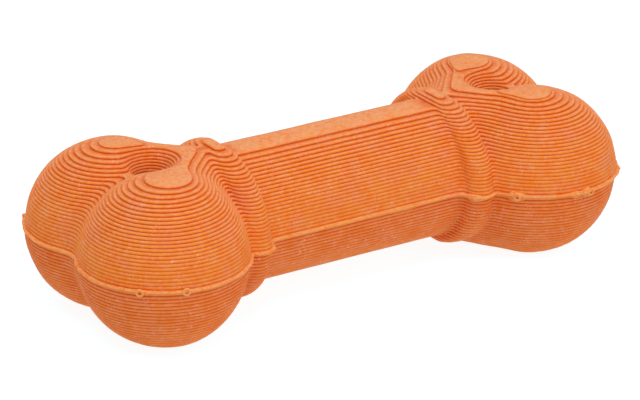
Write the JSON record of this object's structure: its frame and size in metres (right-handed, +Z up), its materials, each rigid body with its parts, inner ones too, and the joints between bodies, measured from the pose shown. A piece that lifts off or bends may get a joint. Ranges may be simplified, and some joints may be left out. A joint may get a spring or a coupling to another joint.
{
  "type": "rubber chew toy",
  "caption": "Bone-shaped solid rubber chew toy with terraced sides, a collar at each end of the shaft, paired round lobes and a hole down through each end.",
  "frame": {"origin": "under the bone's middle, on the surface that it rests on", "axes": "+X along the bone, +Y across it, +Z up, square to the parting plane"},
  "size_m": [0.1924, 0.0876, 0.0522],
  "materials": {
    "rubber": "matte, dusty",
    "flash": "matte, torn edge"
  },
  "bodies": {
    "root": {"upper_half": "rubber", "lower_half": "rubber", "seam_flash": "flash"}
  },
  "joints": []
}
